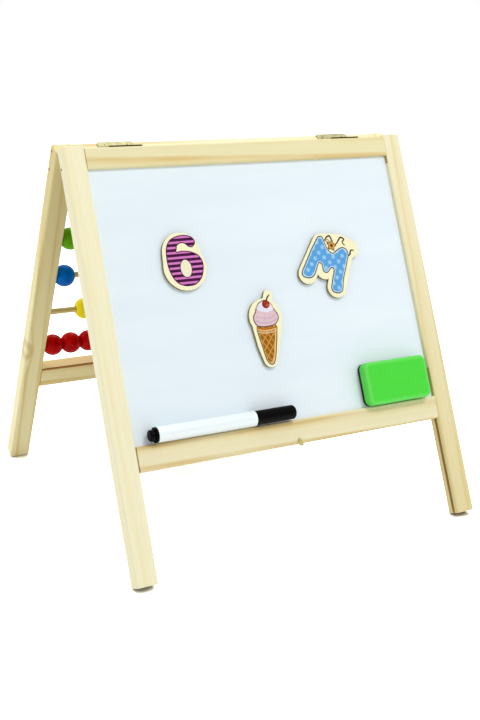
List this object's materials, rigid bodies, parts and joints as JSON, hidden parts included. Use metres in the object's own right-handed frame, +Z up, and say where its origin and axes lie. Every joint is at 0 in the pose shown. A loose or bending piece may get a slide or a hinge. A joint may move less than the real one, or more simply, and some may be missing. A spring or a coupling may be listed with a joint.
{
  "type": "kids easel",
  "caption": "Tabletop wooden easel for children: two hinged frames, magnetic whiteboard in front with marker, eraser and picture magnets, bead rows at the back.",
  "frame": {"origin": "on the floor under the middle of the hinge axis", "axes": "+X to the right along the hinge axis, +Y to the back, +Z up; the whiteboard faces -Y"},
  "size_m": [0.31, 0.2986, 0.3041],
  "materials": {
    "pine": "planed and sanded, unvarnished",
    "beech": "turned dowel, bare",
    "hardboard": "pressed fibre board",
    "cutout_wood": "thin board with printed face",
    "red_paint": "gloss paint on wood",
    "yellow_paint": "gloss paint on wood",
    "blue_paint": "gloss paint on wood",
    "green_paint": "gloss paint on wood",
    "whiteboard": "gloss white enamel on steel",
    "steel": "bright",
    "brass": "plated",
    "white_plastic": "moulded, glossy",
    "black_plastic": "moulded, satin",
    "ink_felt": "felted fibre",
    "green_foam": "closed-cell foam, smooth skin",
    "magnet": "ferrite, matt",
    "cord": "twisted cotton"
  },
  "bodies": {
    "front_frame": {"front_left_stile": "pine", "front_right_stile": "pine", "front_top_rail": "pine", "front_bottom_rail": "pine", "front_frame_nails": "steel", "front_rail_dowels": "beech", "left_hinge_front_leaf": "brass", "right_hinge_front_leaf": "brass", "left_hinge_pin": "steel", "right_hinge_pin": "steel", "front_hinge_screws": "brass", "whiteboard_sheet": "whiteboard", "board_backing": "hardboard", "front_cord_knot": "cord", "stay_cord": "cord"},
    "rear_frame": {"rear_left_stile": "pine", "rear_right_stile": "pine", "rear_top_rail": "pine", "rear_bottom_rail": "pine", "rear_frame_nails": "steel", "rear_rail_dowels": "beech", "left_hinge_rear_leaf": "brass", "right_hinge_rear_leaf": "brass", "rear_hinge_screws": "brass", "rear_cord_knot": "cord", "red_row_rod": "beech", "yellow_row_rod": "beech", "blue_row_rod": "beech", "green_row_rod": "beech", "top_row_rod": "beech"},
    "red_beads_left": {"red_beads_left": "red_paint"},
    "red_beads_right": {"red_beads_right": "red_paint"},
    "yellow_beads_left": {"yellow_beads_left": "yellow_paint"},
    "yellow_beads_right": {"yellow_beads_right": "yellow_paint"},
    "blue_beads_left": {"blue_beads_left": "blue_paint"},
    "blue_beads_right": {"blue_beads_right": "blue_paint"},
    "green_beads_left": {"green_beads_left": "green_paint"},
    "green_beads_right": {"green_beads_right": "green_paint"},
    "top_beads_left": {"top_beads_left": "red_paint"},
    "top_beads_right": {"top_beads_right": "red_paint"},
    "marker": {"marker_barrel": "white_plastic", "marker_end_plug": "black_plastic", "marker_ink_core": "ink_felt", "marker_neck": "black_plastic", "marker_nib": "ink_felt"},
    "marker_cap": {"marker_cap": "black_plastic"},
    "eraser": {"eraser_foam_block": "green_foam", "eraser_felt_pad": "ink_felt"},
    "six_magnet": {"six_cutout": "cutout_wood", "six_disc_magnet": "magnet"},
    "ice_cream_magnet": {"ice_cream_cutout": "cutout_wood", "ice_cream_disc_magnet": "magnet"},
    "letter_magnet": {"letter_cutout": "cutout_wood", "letter_disc_magnet": "magnet"}
  },
  "joints": [
    {"name": "fold", "type": "hinge", "parent": "front_frame", "child": "rear_frame", "pos_m": [0, 0, 0.29965], "axis": [-1, 0, 0], "range_deg": [-1.4, 49.4], "deforming": ["stay_cord"]},
    {"name": "red_left_slide", "type": "slide", "parent": "rear_frame", "child": "red_beads_left", "axis": [1, 0, 0], "range_m": [0, 0.1083]},
    {"name": "red_right_slide", "type": "slide", "parent": "rear_frame", "child": "red_beads_right", "axis": [1, 0, 0], "range_m": [-0.1083, 0]},
    {"name": "yellow_left_slide", "type": "slide", "parent": "rear_frame", "child": "yellow_beads_left", "axis": [1, 0, 0], "range_m": [-0.024, 0.0843]},
    {"name": "yellow_right_slide", "type": "slide", "parent": "rear_frame", "child": "yellow_beads_right", "axis": [1, 0, 0], "range_m": [-0.0843, 0]},
    {"name": "blue_left_slide", "type": "slide", "parent": "rear_frame", "child": "blue_beads_left", "axis": [1, 0, 0], "range_m": [0, 0.1083]},
    {"name": "blue_right_slide", "type": "slide", "parent": "rear_frame", "child": "blue_beads_right", "axis": [1, 0, 0], "range_m": [-0.1083, 0]},
    {"name": "green_left_slide", "type": "slide", "parent": "rear_frame", "child": "green_beads_left", "axis": [1, 0, 0], "range_m": [0, 0.1083]},
    {"name": "green_right_slide", "type": "slide", "parent": "rear_frame", "child": "green_beads_right", "axis": [1, 0, 0], "range_m": [-0.1083, 0]},
    {"name": "top_left_slide", "type": "slide", "parent": "rear_frame", "child": "top_beads_left", "axis": [1, 0, 0], "range_m": [0, 0.1083]},
    {"name": "top_right_slide", "type": "slide", "parent": "rear_frame", "child": "top_beads_right", "axis": [1, 0, 0], "range_m": [-0.1083, 0]},
    {"name": "marker_lift", "type": "slide", "parent": "front_frame", "child": "marker", "axis": [0, -0.9085, 0.4179], "range_m": [0, 0.08]},
    {"name": "cap_pull", "type": "slide", "parent": "marker", "child": "marker_cap", "axis": [1, 0, 0], "range_m": [0, 0.045]},
    {"name": "eraser_lift", "type": "slide", "parent": "front_frame", "child": "eraser", "axis": [0, -0.9085, 0.4179], "range_m": [0, 0.06]},
    {"name": "six_magnet_lift", "type": "slide", "parent": "front_frame", "child": "six_magnet", "axis": [0, -0.9085, 0.4179], "range_m": [0, 0.04]},
    {"name": "ice_cream_magnet_lift", "type": "slide", "parent": "front_frame", "child": "ice_cream_magnet", "axis": [0, -0.9085, 0.4179], "range_m": [0, 0.04]},
    {"name": "letter_magnet_lift", "type": "slide", "parent": "front_frame", "child": "letter_magnet", "axis": [0, -0.9085, 0.4179], "range_m": [0, 0.04]}
  ]
}
